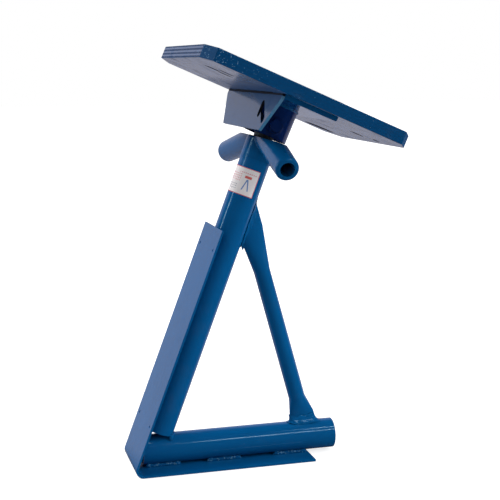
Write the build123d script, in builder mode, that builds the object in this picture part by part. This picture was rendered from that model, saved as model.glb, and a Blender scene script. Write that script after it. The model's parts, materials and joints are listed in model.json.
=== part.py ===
from build123d import *

import os
from math import cos, radians, sin, sqrt, tan

# Adjustable support stand: a leaning post on a welded triangular foot, a cast wing nut that
# raises a screw out of the post, and a plywood pad that tilts on a bolt across the screw.
# Millimetres. +X runs along the foot towards its open tube end, +Z is up, and the whole stand
# is laid out about the plane Y = 0. The origin is the middle of the foot strip's underside.

# ---------------------------------------------------------------- driving dimensions
POST_LEAN = 20.8          # lean of the post from the vertical, degrees
TUBE_OD = 48.3            # post and base tube, 1 1/2 inch pipe
TUBE_WALL = 3.7
BRACE_OD = 26.7           # brace, 3/4 inch pipe
BRACE_WALL = 2.9
BRACE_LEAN = 15.5         # lean of the brace from the vertical, the other way
BRACE_FOOT = 309.0        # from the strip's bend to the brace axis at floor level
FLAT_WIDTH = 42.0         # the brace pipe where it is pressed flat
FLAT_THICK = 9.6
LOWER_FLAT = 12.0         # straight part of the lower flat above the base tube
UPPER_FLAT = 12.0         # straight part of the upper flat below the post
LOWER_SWAGE = 32.0        # length over which the pipe goes from flat to round
UPPER_SWAGE = 70.0

STRIP_WIDTH = 111.0       # foot strip, one flat bar bent under the base
STRIP_THICK = 3.4
STRIP_FOOT = 298.0        # from the bend to the end under the base tube
STRIP_LEG = 409.0         # from the bend to the top end beside the post
BEND_RADIUS = 9.0         # inside radius of the bend
NAIL_HOLE = 5.0
NAIL_SPREAD = 84.0        # across the strip
NAIL_FROM_TOP = 34.0
NAIL_FROM_BEND = 83.5

BASE_OVERHANG = 45.0      # base tube past the end of the strip
BASE_END_GAP = 0.6        # between the tube's square end and the bent strip
POST_BITE = 3.0           # depth that the post's low edge is coped over the base tube
POST_TOP = 516.0          # along the post axis from the floor

WASHER_OD = 50.6          # bearing washer between post and wing nut
WASHER_THICK = 2.0

SCREW_OD = 31.75          # lifting screw
SCREW_TAIL = 352.0        # from the top of the post down to the screw's lower end
SCREW_TO_PIVOT = 4.0      # screw's end below the pivot axis
THREAD_FIT = 0.07         # radial gap between screw and nut

NUT_HUB_OD = 49.6         # cast wing nut
NUT_HEIGHT = 34.6
NUT_EDGE = 2.5
SPIGOT_DEPTH = 20.0       # guide that hangs into the post
SPIGOT_FIT = 0.08         # radial gap between guide and post
ARM_REACH = 146.5         # from the post axis to the middle of each mouth
ARM_ROOT_RISE = 7.9       # arm axis above the hub's top face, at the post axis
ARM_DROP = 42.7           # fall of the arm axis over its reach
ARM_ROOT_OD = 38.5
ARM_MID_OD = 37.8
ARM_MID_REACH = 95.0
ARM_MOUTH_OD = 36.2
ARM_LIP = 5.0             # rounding of the mouth's rim
ARM_BORE = 22.0
ARM_BORE_DEPTH = 96.0
CAST_FILLET = 2.0
NUT_TURN = 3.2            # where the nut stands at rest, degrees about the post axis

PIVOT_HEIGHT = 577.0      # pivot bolt, along the post axis from the floor
HEAD_TILT = 2.5           # lean of the head from square to the post, at rest
SOCKET_OD = 73.0          # socket under the pad, 2 1/2 inch pipe
SOCKET_WALL = 5.15
SOCKET_SKIRT = 18.6       # socket below the pivot axis
PAD_RISE = 39.0           # underside of the pad above the pivot axis
SLEEVE_OD = 22.0          # cross sleeve on top of the screw
SLEEVE_END_GAP = 0.5
BOLT_OD = 12.7
BOLT_FIT = 0.07           # radial gap between bolt and sleeve
BOLT_HOLE_FIT = 0.2       # radial gap between bolt and socket
BOLT_HEX = 19.0
BOLT_HEAD = 8.0
BOLT_NUT = 11.0
BOLT_TAIL = 4.0           # bolt past its nut
BOLT_WASHER_OD = 27.0
BOLT_WASHER_THICK = 2.5

TOP_PLATE_LENGTH = 304.8  # across the stand
TOP_PLATE_WIDTH = 86.5
TOP_PLATE_THICK = 6.35
TOP_PLATE_EDGE = 2.8      # rolled edge of the bar
CHAIN_PLATE_THICK = 4.8
CHAIN_PLATE_HEIGHT = 59.0
CHAIN_PLATE_SHOULDER = 8.0
CHAIN_PLATE_FOOT = 210.0  # width of its lower edge
CHAIN_SLOT = 12.5
SLOT_APEX = (-74.0, -19.0)    # across the stand, and below the pad
SLOT_UPRIGHT = 14.5           # lengths between the ends' centres
SLOT_SLANT = 38.0
SLOT_SLANT_ANGLE = 37.0

PAD_SIZE = 343.0          # square plywood pad
PAD_THICK = 20.0
PAD_CUT = (21.0, 38.0)         # sawn corners, along the foot and across it
PAD_SHORT_CUT = (14.0, 31.0)   # the near left corner is cut less
PAD_EDGE = 0.8
PAD_SCREW_OD = 6.3
PAD_SCREW_HEAD = 12.0
PAD_SCREW_DEPTH = 13.0    # into the plywood
PAD_SCREW_FIT = 0.1
PAD_SCREW_SPREAD = 250.0  # across the stand
PAD_SCREW_PITCH = 56.0    # along the top plate's width

WELD = 4.5                # leg of a fillet weld
STITCH = 58.0             # length of one stitch
FOOT_STITCHES = (27.0, 127.0, 238.0)    # starts, measured from the bend
LEG_STITCHES = (96.0, 216.0, 336.0)

# ---------------------------------------------------------------- the stand's lines
tube_r = TUBE_OD / 2
bore_r = tube_r - TUBE_WALL
lean = radians(POST_LEAN)
bend = Vector(-STRIP_FOOT / 2, 0, 0)
post_up = Vector(sin(lean), 0, cos(lean))
post_right = Vector(cos(lean), 0, -sin(lean))
across = Vector(0, 1, 0)

base_axis_z = STRIP_THICK + tube_r
base_top_z = STRIP_THICK + TUBE_OD
leg_face_at_top = base_top_z * tan(lean) + STRIP_THICK / cos(lean)
base_start = bend.X + leg_face_at_top + BASE_END_GAP
base_length = STRIP_FOOT / 2 + BASE_OVERHANG - base_start

post_foot = bend + Vector((tube_r + STRIP_THICK) / cos(lean), 0, 0)
# the post's low edge lies POST_BITE below the crown of the base tube
post_start = (base_top_z - POST_BITE + tube_r * sin(lean)) / cos(lean)


def post_plane(height):
    """Square to the post, at a distance from the floor along its axis."""
    return Plane(origin=post_foot + post_up * height, x_dir=post_right, z_dir=post_up)


axial_plane = Plane(origin=post_foot, x_dir=post_right, z_dir=-across)
post_axis = Axis(post_foot, post_up)
base_plane = Plane(origin=(base_start, 0, base_axis_z), x_dir=across, z_dir=(1, 0, 0))

brace_lean = radians(BRACE_LEAN)
brace_up = Vector(-sin(brace_lean), 0, cos(brace_lean))
brace_right = Vector(cos(brace_lean), 0, sin(brace_lean))
brace_foot = bend + Vector(BRACE_FOOT, 0, 0)
# distances along the brace axis where it meets the base tube's crown and the post's side
brace_low = base_top_z / cos(brace_lean)
brace_high = ((brace_foot - post_foot).dot(post_right) - tube_r) / sin(lean + brace_lean)


def brace_plane(distance):
    """Square to the brace, at a distance from the floor along its axis."""
    return Plane(origin=brace_foot + brace_up * distance, x_dir=brace_right, z_dir=brace_up)


nut_bottom = POST_TOP + WASHER_THICK
nut_top = nut_bottom + NUT_HEIGHT
nut_turn = radians(NUT_TURN)
nut_across = across * cos(nut_turn) - post_right * sin(nut_turn)
nut_right = post_right * cos(nut_turn) + across * sin(nut_turn)

pivot = post_foot + post_up * PIVOT_HEIGHT
head_lean = radians(POST_LEAN + HEAD_TILT)
head_up = Vector(sin(head_lean), 0, cos(head_lean))
head_right = Vector(cos(head_lean), 0, -sin(head_lean))
socket_r = SOCKET_OD / 2
plate_low = PAD_RISE - TOP_PLATE_THICK      # underside of the top plate above the pivot


def head_plane(height, along=0.0):
    """Parallel to the pad, at a height above the pivot axis."""
    spot = pivot + head_up * height + head_right * along
    return Plane(origin=spot, x_dir=head_right, z_dir=head_up)


def cross_plane(offset):
    """Square to the pivot bolt, at a distance along it from the middle of the stand."""
    return Plane(origin=pivot + across * offset, x_dir=head_right, z_dir=across)


# ---------------------------------------------------------------- foot
# One flat bar: under the base tube, round the bend, and up the outside of the post.
inner_bend = bend + Vector(STRIP_THICK / tan(radians(90 - POST_LEAN) / 2), 0, STRIP_THICK)
leg_top = bend + post_up * STRIP_LEG
nail_low = NAIL_FROM_BEND
nail_high = STRIP_LEG - NAIL_FROM_TOP
nail_plane = Plane(
    origin=bend + post_up * ((nail_low + nail_high) / 2), x_dir=across, z_dir=post_right
)
strip_outline = [
    (STRIP_FOOT / 2, 0),
    (bend.X, 0),
    (leg_top.X, leg_top.Z),
    (leg_top.X + STRIP_THICK * cos(lean), leg_top.Z - STRIP_THICK * sin(lean)),
    (inner_bend.X, inner_bend.Z),
    (STRIP_FOOT / 2, STRIP_THICK),
]
with BuildPart() as foot_strip:
    with BuildSketch(Plane.XZ) as strip_side:
        with BuildLine():
            Polyline(*strip_outline, close=True)
        make_face()
        outside = strip_side.vertices().sort_by_distance((bend.X, 0))[0]
        fillet(outside, radius=BEND_RADIUS + STRIP_THICK)
        inside = strip_side.vertices().sort_by_distance((inner_bend.X, inner_bend.Z))[0]
        fillet(inside, radius=BEND_RADIUS)
    extrude(amount=STRIP_WIDTH / 2, both=True)
    with BuildSketch(nail_plane):
        with GridLocations(NAIL_SPREAD, nail_high - nail_low, 2, 2):
            Circle(NAIL_HOLE / 2)
    extrude(amount=STRIP_THICK, mode=Mode.SUBTRACT)

with BuildPart() as base_tube:
    with BuildSketch(base_plane):
        Circle(tube_r)
        Circle(bore_r, mode=Mode.SUBTRACT)
    extrude(amount=base_length)

with BuildPart() as base_outside:
    with BuildSketch(base_plane):
        Circle(tube_r)
    extrude(amount=base_length)

with BuildPart() as post_tube:
    with BuildSketch(post_plane(post_start)):
        Circle(tube_r)
        Circle(bore_r, mode=Mode.SUBTRACT)
    extrude(amount=POST_TOP - post_start)
    add(base_outside.part, mode=Mode.SUBTRACT)

with BuildPart() as post_outside:
    with BuildSketch(post_plane(post_start)):
        Circle(tube_r)
    extrude(amount=POST_TOP - post_start)


# ---------------------------------------------------------------- brace
def brace_form(shrink):
    """The brace pipe with both ends pressed flat, its skin moved inwards by shrink."""
    flat = (FLAT_WIDTH / 2 - shrink, FLAT_THICK / 2 - shrink)
    round_r = BRACE_OD / 2 - shrink
    low_flat = brace_low + LOWER_FLAT
    high_flat = brace_high - UPPER_FLAT
    stations = [
        (brace_low - LOWER_FLAT, flat),
        (low_flat, flat),
        (low_flat + LOWER_SWAGE, (round_r, round_r)),
        (high_flat - UPPER_SWAGE, (round_r, round_r)),
        (high_flat, flat),
        (brace_high + TUBE_OD, flat),
    ]
    with BuildPart() as form:
        for start, end in zip(stations, stations[1:]):
            for distance, radii in (start, end):
                with BuildSketch(brace_plane(distance)):
                    Ellipse(*radii)
            loft(ruled=True)
    return form.part


brace_skin = brace_form(0)
with BuildPart() as brace_tube:
    add(brace_skin)
    add(brace_form(BRACE_WALL), mode=Mode.SUBTRACT)
    add(base_outside.part, mode=Mode.SUBTRACT)
    add(post_outside.part, mode=Mode.SUBTRACT)


# ---------------------------------------------------------------- foot welds
def stitches(planes, radius, length):
    """Fillet beads on both sides of a tube that lies on a flat face, one pair per plane."""
    # the bead fills the crevice from where the tube stands a quarter weld off the face
    root = sqrt(2 * radius * WELD / 4)
    toe = root + 1.6 * WELD
    with BuildPart() as beads:
        with BuildSketch(*planes):
            for side in (-1, 1):
                with BuildLine():
                    Polyline((side * root, 0), (side * toe, 0), (side * root, 1.5 * WELD), close=True)
                make_face()
            with Locations((0, radius)):
                Circle(radius, mode=Mode.SUBTRACT)
        extrude(amount=length)
    return beads.part


foot_stitch_planes = [
    Plane(origin=(bend.X + start, 0, STRIP_THICK), x_dir=across, z_dir=(1, 0, 0))
    for start in FOOT_STITCHES
]
leg_face = bend + post_right * STRIP_THICK
leg_stitch_planes = [
    Plane(origin=leg_face + post_up * start, x_dir=-across, z_dir=post_up) for start in LEG_STITCHES
]
with BuildPart() as strip_welds:
    add(stitches(foot_stitch_planes, tube_r, STITCH))
    add(stitches(leg_stitch_planes, tube_r, STITCH))

with BuildPart() as post_foot_weld:
    with BuildSketch(post_plane(post_start - WELD)):
        Circle(tube_r + WELD)
    extrude(amount=4 * WELD)
    with BuildSketch(base_plane):
        Circle(tube_r + WELD)
    extrude(amount=base_length, mode=Mode.INTERSECT)
    split(bisect_by=Plane(origin=post_foot, z_dir=post_right), keep=Keep.TOP)
    add(base_outside.part, mode=Mode.SUBTRACT)
    with BuildSketch(post_plane(post_start - 2 * WELD)):
        Circle(tube_r)
    extrude(amount=6 * WELD, mode=Mode.SUBTRACT)


# The seam on the post is as long as the flattened end, measured along the slant.
seam_length = 0.84 * FLAT_WIDTH / sin(lean + brace_lean)
seam_middle = (brace_foot + brace_up * brace_high - post_foot).dot(post_up)
with BuildPart() as brace_welds:
    # a collar round the lower end, on the crown of the base tube
    with BuildSketch(brace_plane(brace_low - WELD)):
        Ellipse(FLAT_WIDTH / 2 + WELD, FLAT_THICK / 2 + WELD)
    extrude(amount=3 * WELD)
    with BuildSketch(base_plane):
        Circle(tube_r + WELD * 0.8)
    extrude(amount=base_length, mode=Mode.INTERSECT)
    # a bead along each side of the upper end, on the post
    with BuildSketch(post_plane(seam_middle - seam_length / 2)):
        for side in (-1, 1):
            with BuildLine():
                Polyline(
                    (tube_r - WELD / 2, 0),
                    (tube_r + WELD, 0),
                    (tube_r + WELD, side * FLAT_THICK / 2),
                    (tube_r - WELD / 2, side * (FLAT_THICK / 2 + WELD)),
                    close=True,
                )
            make_face()
    extrude(amount=seam_length)
    add(base_outside.part, mode=Mode.SUBTRACT)
    add(post_outside.part, mode=Mode.SUBTRACT)
    add(brace_skin, mode=Mode.SUBTRACT)

# ---------------------------------------------------------------- lifting screw and wing nut
with BuildPart() as thrust_washer:
    with BuildSketch(post_plane(POST_TOP)):
        Circle(WASHER_OD / 2)
        Circle(bore_r, mode=Mode.SUBTRACT)
    extrude(amount=WASHER_THICK)

screw_bottom = POST_TOP - SCREW_TAIL
screw_top = PIVOT_HEIGHT - SCREW_TO_PIVOT
with BuildPart() as lift_screw:
    with BuildSketch(post_plane(screw_bottom)):
        Circle(SCREW_OD / 2)
    extrude(amount=screw_top - screw_bottom)
    chamfer(lift_screw.faces().sort_by(post_axis)[0].edges(), length=2)
    with BuildSketch(cross_plane(-SCREW_OD)):
        Circle(SLEEVE_OD / 2)
    extrude(amount=2 * SCREW_OD, mode=Mode.SUBTRACT)

arm_length = sqrt(ARM_REACH**2 + ARM_DROP**2)
with BuildPart() as wing_nut:
    with BuildSketch(axial_plane):
        with BuildLine():
            Polyline(
                (0, nut_bottom - SPIGOT_DEPTH),
                (bore_r - SPIGOT_FIT, nut_bottom - SPIGOT_DEPTH),
                (bore_r - SPIGOT_FIT, nut_bottom),
                (NUT_HUB_OD / 2, nut_bottom),
                (NUT_HUB_OD / 2, nut_top - NUT_EDGE),
                (NUT_HUB_OD / 2 - NUT_EDGE, nut_top),
                (0, nut_top),
                close=True,
            )
        make_face()
    revolve(axis=post_axis)
    arm_start = post_foot + post_up * (nut_top + ARM_ROOT_RISE)
    for side in (-1, 1):
        outwards = (nut_across * (side * ARM_REACH) - post_up * ARM_DROP).normalized()
        with BuildSketch(Plane(origin=arm_start, x_dir=outwards, z_dir=nut_right)):
            with BuildLine():
                Line((0, 0), (0, ARM_ROOT_OD / 2))
                Spline(
                    (0, ARM_ROOT_OD / 2),
                    (ARM_MID_REACH, ARM_MID_OD / 2),
                    (arm_length - ARM_LIP, ARM_MOUTH_OD / 2),
                )
                RadiusArc(
                    (arm_length - ARM_LIP, ARM_MOUTH_OD / 2),
                    (arm_length, ARM_MOUTH_OD / 2 - ARM_LIP),
                    ARM_LIP,
                )
                Polyline(
                    (arm_length, ARM_MOUTH_OD / 2 - ARM_LIP),
                    (arm_length, ARM_BORE / 2),
                    (arm_length - ARM_BORE_DEPTH, ARM_BORE / 2),
                    (arm_length - ARM_BORE_DEPTH - ARM_BORE / 4, 0),
                    (0, 0),
                )
            make_face()
        revolve(axis=Axis(arm_start, outwards))
    split(bisect_by=post_plane(nut_top), keep=Keep.BOTTOM)
    with BuildSketch(post_plane(nut_bottom - SPIGOT_DEPTH)):
        Circle(SCREW_OD / 2 + THREAD_FIT)
    extrude(amount=NUT_HEIGHT + SPIGOT_DEPTH, mode=Mode.SUBTRACT)
    # the seams where the arms leave the hub are rounded, as cast
    seams = []
    for edge in wing_nut.edges().filter_by(GeomType.BSPLINE):
        middle = edge.center() - post_foot
        height = middle.dot(post_up)
        if height < nut_top - 1 and (middle - post_up * height).length < NUT_HUB_OD / 2 + CAST_FILLET:
            seams.append(edge)
    fillet(seams, radius=CAST_FILLET)

# ---------------------------------------------------------------- pivot
sleeve_half = sqrt((socket_r - SOCKET_WALL) ** 2 - (SLEEVE_OD / 2) ** 2) - SLEEVE_END_GAP
with BuildPart() as pivot_sleeve:
    with BuildSketch(cross_plane(-sleeve_half)):
        Circle(SLEEVE_OD / 2)
        Circle(BOLT_OD / 2 + BOLT_FIT, mode=Mode.SUBTRACT)
    extrude(amount=2 * sleeve_half)

bolt_seat = socket_r + BOLT_WASHER_THICK
with BuildPart() as pivot_bolt:
    with BuildSketch(cross_plane(-bolt_seat - BOLT_HEAD)):
        RegularPolygon(radius=BOLT_HEX / 2, side_count=6, major_radius=False)
    extrude(amount=BOLT_HEAD)
    with BuildSketch(cross_plane(-bolt_seat)):
        Circle(BOLT_OD / 2)
    extrude(amount=2 * bolt_seat + BOLT_NUT + BOLT_TAIL)
    chamfer(pivot_bolt.faces().sort_by(Axis.Y)[-1].edges(), length=1.2)

with BuildPart() as pivot_nut:
    with BuildSketch(cross_plane(bolt_seat)):
        RegularPolygon(radius=BOLT_HEX / 2, side_count=6, major_radius=False)
        Circle(BOLT_OD / 2, mode=Mode.SUBTRACT)
    extrude(amount=BOLT_NUT)

with BuildPart() as pivot_washers:
    with BuildSketch(cross_plane(-bolt_seat), cross_plane(socket_r)):
        Circle(BOLT_WASHER_OD / 2)
        Circle(BOLT_OD / 2, mode=Mode.SUBTRACT)
    extrude(amount=BOLT_WASHER_THICK)

# ---------------------------------------------------------------- head
with BuildPart() as head_socket:
    with BuildSketch(head_plane(-SOCKET_SKIRT)):
        Circle(socket_r)
        Circle(socket_r - SOCKET_WALL, mode=Mode.SUBTRACT)
    extrude(amount=SOCKET_SKIRT + plate_low)
    with BuildSketch(cross_plane(-SOCKET_OD)):
        Circle(BOLT_OD / 2 + BOLT_HOLE_FIT)
    extrude(amount=2 * SOCKET_OD, mode=Mode.SUBTRACT)

# the top plate's left edge lands on the chain plate, which is tangent to the socket
plate_middle = TOP_PLATE_WIDTH / 2 - socket_r
# the pad's screws enter the underside of the top plate at its four corners
pad_screw_spots = [
    head_plane(plate_low, plate_middle + i * PAD_SCREW_PITCH / 2).origin
    + across * (j * PAD_SCREW_SPREAD / 2)
    for i in (-1, 1)
    for j in (-1, 1)
]
with BuildPart() as top_plate:
    with BuildSketch(head_plane(plate_low, plate_middle)):
        Rectangle(TOP_PLATE_WIDTH, TOP_PLATE_LENGTH)
    extrude(amount=TOP_PLATE_THICK)
    rolled = top_plate.edges().filter_by(Axis.Y).sort_by(Axis(pivot, head_right))[-2:]
    fillet(rolled.sort_by(Axis(pivot, head_up))[0], radius=TOP_PLATE_EDGE)
    for spot in pad_screw_spots:
        with Locations(Plane(origin=spot, x_dir=head_right, z_dir=-head_up)):
            CounterSinkHole(
                radius=PAD_SCREW_OD / 2 + PAD_SCREW_FIT,
                counter_sink_radius=PAD_SCREW_HEAD / 2 + PAD_SCREW_FIT,
                counter_sink_angle=90,
            )

chain_plane = Plane(
    origin=pivot - head_right * (socket_r + CHAIN_PLATE_THICK) + head_up * PAD_RISE,
    x_dir=across,
    z_dir=head_right,
)
slant = radians(SLOT_SLANT_ANGLE)
with BuildPart() as chain_plate:
    with BuildSketch(chain_plane):
        with BuildLine():
            Polyline(
                (-TOP_PLATE_LENGTH / 2, 0),
                (TOP_PLATE_LENGTH / 2, 0),
                (TOP_PLATE_LENGTH / 2, -CHAIN_PLATE_SHOULDER),
                (CHAIN_PLATE_FOOT / 2, -CHAIN_PLATE_HEIGHT),
                (-CHAIN_PLATE_FOOT / 2, -CHAIN_PLATE_HEIGHT),
                (-TOP_PLATE_LENGTH / 2, -CHAIN_PLATE_SHOULDER),
                close=True,
            )
        make_face()
        with Locations((SLOT_APEX[0], SLOT_APEX[1] - SLOT_UPRIGHT / 2)):
            SlotCenterToCenter(SLOT_UPRIGHT, CHAIN_SLOT, rotation=90, mode=Mode.SUBTRACT)
        slant_x = SLOT_APEX[0] - SLOT_SLANT / 2 * cos(slant)
        slant_y = SLOT_APEX[1] - SLOT_SLANT / 2 * sin(slant)
        with Locations((slant_x, slant_y)):
            SlotCenterToCenter(
                SLOT_SLANT, CHAIN_SLOT, rotation=SLOT_SLANT_ANGLE, mode=Mode.SUBTRACT
            )
    extrude(amount=CHAIN_PLATE_THICK)

# ring weld under the top plate, beads in the crevice behind the chain plate, and short
# beads in the corner between the two plates
bead_base = head_plane(-SOCKET_SKIRT, -socket_r)
corner_bead = TOP_PLATE_LENGTH / 6
with BuildPart() as head_welds:
    with BuildSketch(Plane(origin=pivot, x_dir=head_right, z_dir=-across)):
        with BuildLine():
            Polyline(
                (socket_r, plate_low),
                (socket_r + 1.3 * WELD, plate_low),
                (socket_r, plate_low - 1.3 * WELD),
                close=True,
            )
        make_face()
    revolve(axis=Axis(pivot, head_up))
    ring_end = pivot - head_right * (socket_r - WELD / 4)
    split(bisect_by=Plane(origin=ring_end, z_dir=head_right), keep=Keep.TOP)
    add(
        stitches(
            [Plane(origin=bead_base.origin, x_dir=-across, z_dir=head_up)],
            socket_r,
            SOCKET_SKIRT + plate_low - 1.3 * WELD,
        )
    )
    for side in (-1, 1):
        start = pivot - head_right * socket_r + head_up * plate_low
        start += across * (side * TOP_PLATE_LENGTH / 3 - corner_bead / 2)
        with BuildSketch(Plane(origin=start, x_dir=head_right, z_dir=across)):
            with BuildLine():
                Polyline((0, 0), (WELD, 0), (0, WELD), close=True)
            make_face()
        extrude(amount=corner_bead)

pad_half = PAD_SIZE / 2
pad_outline = []
for x_side, y_side, cut in (
    (1, 1, PAD_CUT),
    (-1, 1, PAD_CUT),
    (-1, -1, PAD_SHORT_CUT),
    (1, -1, PAD_CUT),
):
    corner = [
        (x_side * pad_half, y_side * (pad_half - cut[1])),
        (x_side * (pad_half - cut[0]), y_side * pad_half),
    ]
    pad_outline += corner if x_side == y_side else corner[::-1]
with BuildPart() as plywood_pad:
    with BuildSketch(head_plane(PAD_RISE)):
        with BuildLine():
            Polyline(*pad_outline, close=True)
        make_face()
    extrude(amount=PAD_THICK)
    top_edges = plywood_pad.faces().sort_by(Axis(pivot, head_up))[-1].edges()
    chamfer(top_edges, length=PAD_EDGE)
    for spot in pad_screw_spots:
        with BuildSketch(Plane(origin=spot, x_dir=head_right, z_dir=head_up)):
            Circle(PAD_SCREW_OD / 2 + PAD_SCREW_FIT)
        extrude(amount=TOP_PLATE_THICK + PAD_SCREW_DEPTH, mode=Mode.SUBTRACT)

head_depth = (PAD_SCREW_HEAD - PAD_SCREW_OD) / 2
screw_length = TOP_PLATE_THICK + PAD_SCREW_DEPTH
with BuildPart() as pad_screws:
    for spot in pad_screw_spots:
        with BuildSketch(Plane(origin=spot, x_dir=head_right, z_dir=-across)):
            with BuildLine():
                Polyline(
                    (0, 0),
                    (PAD_SCREW_HEAD / 2, 0),
                    (PAD_SCREW_OD / 2, head_depth),
                    (PAD_SCREW_OD / 2, screw_length - PAD_SCREW_OD),
                    (0, screw_length - PAD_SCREW_FIT),
                    close=True,
                )
            make_face()
        revolve(axis=Axis(spot, head_up))

# ---------------------------------------------------------------- finished pieces
pieces = {
    "foot_strip": foot_strip,
    "base_tube": base_tube,
    "post_tube": post_tube,
    "brace_tube": brace_tube,
    "strip_welds": strip_welds,
    "post_foot_weld": post_foot_weld,
    "brace_welds": brace_welds,
    "thrust_washer": thrust_washer,
    "lift_screw": lift_screw,
    "wing_nut": wing_nut,
    "pivot_sleeve": pivot_sleeve,
    "pivot_bolt": pivot_bolt,
    "pivot_nut": pivot_nut,
    "pivot_washers": pivot_washers,
    "head_socket": head_socket,
    "top_plate": top_plate,
    "chain_plate": chain_plate,
    "head_welds": head_welds,
    "plywood_pad": plywood_pad,
    "pad_screws": pad_screws,
}
os.makedirs("parts", exist_ok=True)
for name, piece in pieces.items():
    piece.part.label = name
    export_step(piece.part, f"parts/{name}.step")
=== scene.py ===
"""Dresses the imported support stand: enamel, plywood, welds, thread, fasteners, label and studio.

Every new piece is a surface worked out in the stand's own directions, in metres, and rides on
the body that carries it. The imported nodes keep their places: each gets a material, and some
are replaced by a finer piece.
"""

import json
from functools import partial, partialmethod
from math import cos, pi, radians, sin, sqrt

import bmesh
import bpy
import numpy as np
from mathutils import Matrix, Vector


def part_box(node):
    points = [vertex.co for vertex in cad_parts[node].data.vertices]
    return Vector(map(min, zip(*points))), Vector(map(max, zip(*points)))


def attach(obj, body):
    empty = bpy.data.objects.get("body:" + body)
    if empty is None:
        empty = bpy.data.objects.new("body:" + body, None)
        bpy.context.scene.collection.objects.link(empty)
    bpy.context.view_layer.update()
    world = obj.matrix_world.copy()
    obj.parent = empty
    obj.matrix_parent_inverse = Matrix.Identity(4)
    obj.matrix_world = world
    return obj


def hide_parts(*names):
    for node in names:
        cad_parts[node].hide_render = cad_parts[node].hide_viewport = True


bl_info = {
    "name": "Support Stand Dresser",
    "version": (1, 0, 0),
    "blender": (4, 5, 0),
    "location": "View3D > Sidebar > Stand",
    "description": "Adds paint, plywood, welds, a thread and a studio to the support stand",
    "category": "Object",
}

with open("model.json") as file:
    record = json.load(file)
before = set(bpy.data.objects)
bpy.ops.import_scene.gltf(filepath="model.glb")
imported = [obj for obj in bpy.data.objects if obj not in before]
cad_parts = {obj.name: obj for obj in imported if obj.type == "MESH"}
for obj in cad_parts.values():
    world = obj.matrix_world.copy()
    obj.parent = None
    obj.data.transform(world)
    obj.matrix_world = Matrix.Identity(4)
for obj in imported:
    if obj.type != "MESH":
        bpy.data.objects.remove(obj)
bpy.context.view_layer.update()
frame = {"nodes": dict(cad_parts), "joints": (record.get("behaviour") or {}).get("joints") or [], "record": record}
MM = 0.001

# ---------------- the stand's directions
joints = {joint["name"]: joint for joint in frame["joints"]}
mounts = {mount["name"]: mount for mount in frame["record"]["mounts"]}

ALONG_FOOT, ACROSS, UP = np.eye(3)
POST_UP = np.array(joints["lift"]["axis"], float)
POST_RIGHT = np.cross(ACROSS, POST_UP)
POST_AXES = (POST_RIGHT, ACROSS, POST_UP)
NUT_SEAT = np.array(joints["nut_turn"]["pos_m"], float)
PIVOT = np.array(joints["head_tilt"]["pos_m"], float)
HEAD_UP = np.array(mounts["pad_face"]["axis"], float)
HEAD_RIGHT = np.cross(ACROSS, HEAD_UP)
HEAD_AXES = (HEAD_RIGHT, ACROSS, HEAD_UP)
PAD_TOP = np.array(mounts["pad_face"]["pos_m"], float)
# the post's axis meets the floor at its foot, and the strip's leaning leg at the bend
POST_FOOT = NUT_SEAT - POST_UP * (NUT_SEAT[2] / POST_UP[2])
POST_SIN, POST_COS = POST_UP[0], POST_UP[2]
BEND = np.array(mounts["leg_face"]["pos_m"], float)
BEND = BEND - POST_UP * (BEND[2] / POST_UP[2])


def local(origin, axes, points):
    """Places an array of local coordinates: origin + x·axes[0] + y·axes[1] + z·axes[2]."""
    return origin + points @ np.stack(axes)


def across_span(name):
    """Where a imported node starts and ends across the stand."""
    return (corner[1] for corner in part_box(name))


def reach(name, direction):
    """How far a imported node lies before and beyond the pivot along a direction."""
    mesh = frame["nodes"][name].data
    places = np.empty(len(mesh.vertices) * 3, np.float32)
    mesh.vertices.foreach_get("co", places)
    spans = (places.reshape(-1, 3) - PIVOT) @ direction
    return float(spans.min()), float(spans.max())


# ---------------- settings
def number(name, description, default, **kind):
    """A number that a user would change. Its kind gives a unit or subtype."""
    return bpy.props.FloatProperty(name=name, description=description, default=default, **kind)


def tint(name, description, default, brightest=1):
    """A colour that a user would change."""
    return bpy.props.FloatVectorProperty(
        name=name, description=description, size=3, default=default,
        min=0, max=brightest, subtype="COLOR",
    )


def size(name, description, millimetres):
    """A length that a user would change, given in mm."""
    return number(name, description, millimetres * MM, unit="LENGTH")


angle = partial(number, subtype="ANGLE")
watts = partial(number, unit="POWER")


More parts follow.
